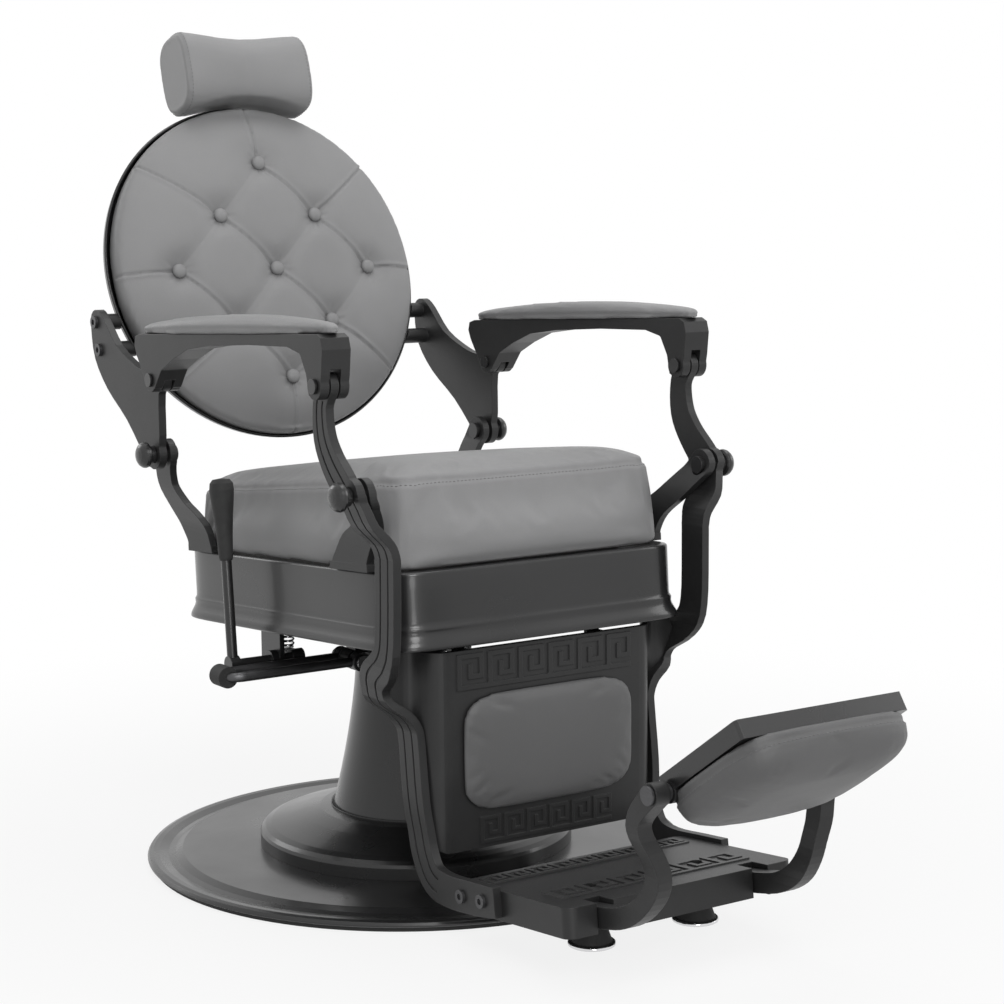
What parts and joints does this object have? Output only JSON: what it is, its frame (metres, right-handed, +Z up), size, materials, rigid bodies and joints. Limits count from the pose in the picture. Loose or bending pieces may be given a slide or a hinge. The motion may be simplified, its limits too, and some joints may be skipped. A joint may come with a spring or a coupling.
{
  "type": "barber chair",
  "caption": "Reclining barber chair with a round pump base, key-pattern footplate, flip-up leg rest, round tufted back and sliding headrest.",
  "frame": {"origin": "centre of the flat underside of the base, on the swivel axis", "axes": "+Z up along the swivel axis, -Y towards the front of the chair, -X towards the sitter's right"},
  "size_m": [0.6799, 1.3039, 1.0564],
  "materials": {
    "enamel": "semi-gloss",
    "casting": "satin",
    "satin": "satin",
    "chrome": "polished",
    "rubber": "matt",
    "leather": "soft grain",
    "wood": "sanded"
  },
  "bodies": {
    "base": {"base_plate": "enamel", "base_edge_ring": "rubber", "base_cover": "enamel", "base_collar": "enamel", "column_cover": "enamel", "swivel_bearing": "chrome"},
    "pump": {"pump_cylinder": "satin", "pump_head": "enamel", "pedal_pin": "chrome"},
    "pedal": {"pump_pedal": "satin", "pedal_tread": "rubber"},
    "seat": {"lift_ram": "chrome", "mount_hub": "enamel", "seat_frame": "satin", "seat_board": "wood", "seat_shroud": "enamel", "seat_cushion": "leather", "seat_bracket_front_right": "casting", "seat_bracket_front_left": "casting", "seat_bracket_rear_right": "casting", "seat_bracket_rear_left": "casting", "front_knuckle_bolts": "enamel", "rear_knuckle_bolts": "enamel", "bracket_screws": "chrome", "release_bracket": "enamel", "release_spring": "chrome", "lock_tube": "enamel", "leg_stops": "enamel"},
    "lever": {"recline_lever": "enamel", "lever_grip": "rubber"},
    "lock_rod": {"lock_rod": "chrome"},
    "leg_frame": {"leg_side_right": "casting", "leg_side_left": "casting", "leg_panel": "casting", "calf_pad": "leather", "footplate": "casting", "foot_arm_right": "casting", "foot_arm_left": "casting", "rubber_feet": "rubber", "leg_bolts": "satin", "front_arm_pins": "enamel", "flip_pins": "satin"},
    "flip_rest": {"flip_pan": "enamel", "flip_pad": "leather"},
    "back": {"back_shell": "enamel", "back_cushion": "leather", "back_buttons": "leather", "back_bracket_right": "casting", "back_bracket_left": "casting", "back_bolts": "satin", "headrest_socket": "enamel", "headrest_knob": "rubber", "rear_arm_pins": "enamel"},
    "post": {"headrest_post": "satin"},
    "headrest": {"headrest_yoke": "satin", "headrest_cushion": "leather"},
    "armrest_right": {"armrest_right": "casting", "arm_pad_right": "leather"},
    "armrest_left": {"armrest_left": "casting", "arm_pad_left": "leather"}
  },
  "joints": [
    {"name": "swivel", "type": "hinge", "parent": "base", "child": "pump", "pos_m": [0, 0, 0], "axis": [0, 0, 1], "continuous": true},
    {"name": "pedal_stroke", "type": "hinge", "parent": "pump", "child": "pedal", "pos_m": [-0.092, 0, 0.258], "axis": [0, -1, 0], "range_deg": [0, 12], "stiffness_Nm_per_rad": 6, "springref_deg": -11.46},
    {"name": "lift", "type": "slide", "parent": "pump", "child": "seat", "axis": [0, 0, 1], "range_m": [0, 0.15]},
    {"name": "recline", "type": "hinge", "parent": "seat", "child": "back", "pos_m": [0, 0.204, 0.507], "axis": [-1, 0, 0], "range_deg": [0, 35]},
    {"name": "leg_swing", "type": "hinge", "parent": "seat", "child": "leg_frame", "pos_m": [0, -0.285, 0.503], "axis": [-1, 0, 0], "range_deg": [0, 34]},
    {"name": "lock_slide", "type": "slide", "parent": "seat", "child": "lock_rod", "axis": [0, -1, 0], "range_m": [0, 0.14]},
    {"name": "armrest_right_hinge", "type": "hinge", "parent": "back", "child": "armrest_right", "pos_m": [-0.251, 0.18, 0.603], "axis": [-1, 0, 0], "range_deg": [-41, 0]},
    {"name": "armrest_left_hinge", "type": "hinge", "parent": "back", "child": "armrest_left", "pos_m": [0.251, 0.18, 0.603], "axis": [-1, 0, 0], "range_deg": [-41, 0]},
    {"name": "lever_pull", "type": "hinge", "parent": "seat", "child": "lever", "pos_m": [-0.236, 0.038, 0.262], "axis": [-1, 0, 0], "range_deg": [0, 15], "stiffness_Nm_per_rad": 4, "springref_deg": -8.59},
    {"name": "flip_rest_hinge", "type": "hinge", "parent": "leg_frame", "child": "flip_rest", "pos_m": [0, -0.656, 0.232], "axis": [-1, 0, 0], "range_deg": [0, 110]},
    {"name": "headrest_slide", "type": "slide", "parent": "back", "child": "post", "axis": [0, 0.2924, 0.9563], "range_m": [0, 0.09]},
    {"name": "headrest_tilt", "type": "hinge", "parent": "post", "child": "headrest", "pos_m": [0, 0.50208, 0.97912], "axis": [-1, 0, 0], "range_deg": [0, 30]}
  ],
  "couplings": [
    {"joint": "leg_swing", "follows": "recline", "ratio": 0.965},
    {"joint": "lock_slide", "follows": "recline", "m_per_rad": 0.2271},
    {"joint": "armrest_right_hinge", "follows": "recline", "ratio": -1.168},
    {"joint": "armrest_left_hinge", "follows": "recline", "ratio": -1.168}
  ]
}
